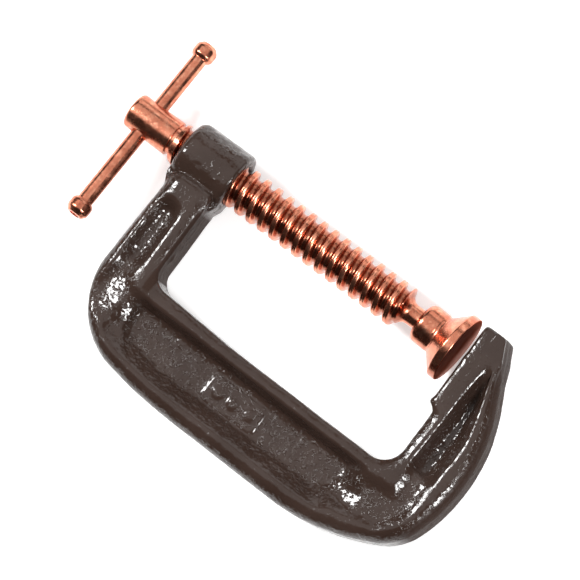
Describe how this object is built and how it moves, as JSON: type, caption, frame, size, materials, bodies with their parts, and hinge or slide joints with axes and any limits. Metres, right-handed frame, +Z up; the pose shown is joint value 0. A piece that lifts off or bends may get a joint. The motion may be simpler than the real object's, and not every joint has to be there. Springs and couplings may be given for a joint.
{
  "type": "c clamp",
  "caption": "C-clamp: cast frame with a threaded boss and an anvil, clamp screw with a sliding tommy bar, and a swivel pad on the screw's ball end",
  "frame": {"origin": "Point where the screw's axis meets the anvil face", "axes": "The clamp lies on its side. +X runs along the screw from the anvil face towards the head, +Y from the screw's axis towards the spine, +Z up across the casting's thickness"},
  "size_m": [0.1311, 0.086, 0.0198],
  "materials": {
    "enamelled_iron": "glossy dark grey-brown enamel over a rough sand casting",
    "copper_plated_steel": "satin copper plating on turned and rolled steel",
    "spring_steel": "plain oiled wire"
  },
  "bodies": {
    "frame": {"frame": "enamelled_iron"},
    "pad_carrier": {"pad_retaining_ring": "spring_steel"},
    "screw": {"screw": "copper_plated_steel"},
    "tommy_bar": {"tommy_bar": "copper_plated_steel", "bar_knob_spine_end": "copper_plated_steel", "bar_knob_open_end": "copper_plated_steel"},
    "swivel_pad": {"swivel_pad": "copper_plated_steel"}
  },
  "joints": [
    {"name": "screw_travel", "type": "slide", "parent": "frame", "child": "pad_carrier", "axis": [1, 0, 0], "range_m": [-0.0024, 0.0601]},
    {"name": "screw_turn", "type": "hinge", "parent": "pad_carrier", "child": "screw", "pos_m": [0.0107, 0, 0], "axis": [1, 0, 0], "range_deg": [-231, 5770]},
    {"name": "bar_slide", "type": "slide", "parent": "screw", "child": "tommy_bar", "axis": [0, 0.9833, 0.1822], "range_m": [-0.0222, 0.0159]},
    {"name": "pad_tilt", "type": "hinge", "parent": "pad_carrier", "child": "swivel_pad", "pos_m": [0.0107, 0, 0], "axis": [0, 0, 1], "range_deg": [-2, 8]}
  ],
  "couplings": [
    {"joint": "screw_turn", "follows": "screw_travel", "rad_per_m": 1675.5}
  ]
}
